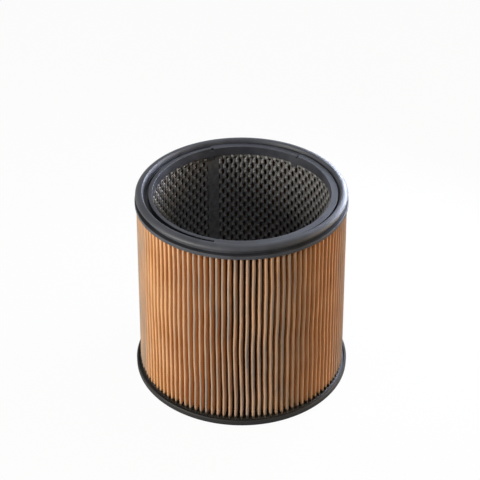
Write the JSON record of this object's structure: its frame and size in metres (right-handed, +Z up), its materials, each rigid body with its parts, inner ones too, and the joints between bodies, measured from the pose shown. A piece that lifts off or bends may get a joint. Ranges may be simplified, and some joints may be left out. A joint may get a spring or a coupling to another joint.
{
  "type": "pleated filter element",
  "caption": "Cylindrical pleated paper cartridge with moulded end caps, open keyed collar and sealing ring at the top, closed base and expanded-metal core.",
  "frame": {"origin": "centre of the base cap's standing face", "axes": "+Z up the filter's axis to the open collar, front of the element towards -Y"},
  "size_m": [0.1842, 0.1842, 0.1739],
  "materials": {
    "base_cap_plastic": "moulded, near black, matt",
    "adhesive": "cast, black, dull",
    "core_metal": "dark stoved paint on expanded sheet",
    "filter_paper": "tan resin-treated cellulose",
    "top_cap_plastic": "moulded, slate grey, semi-matt",
    "seal_rubber": "moulded, slate grey, soft sheen"
  },
  "bodies": {
    "root": {"base_cap": "base_cap_plastic", "base_adhesive": "adhesive", "inner_core": "core_metal", "pleated_media": "filter_paper", "top_adhesive": "adhesive", "top_cap": "top_cap_plastic", "seal_ring": "seal_rubber"}
  },
  "joints": []
}
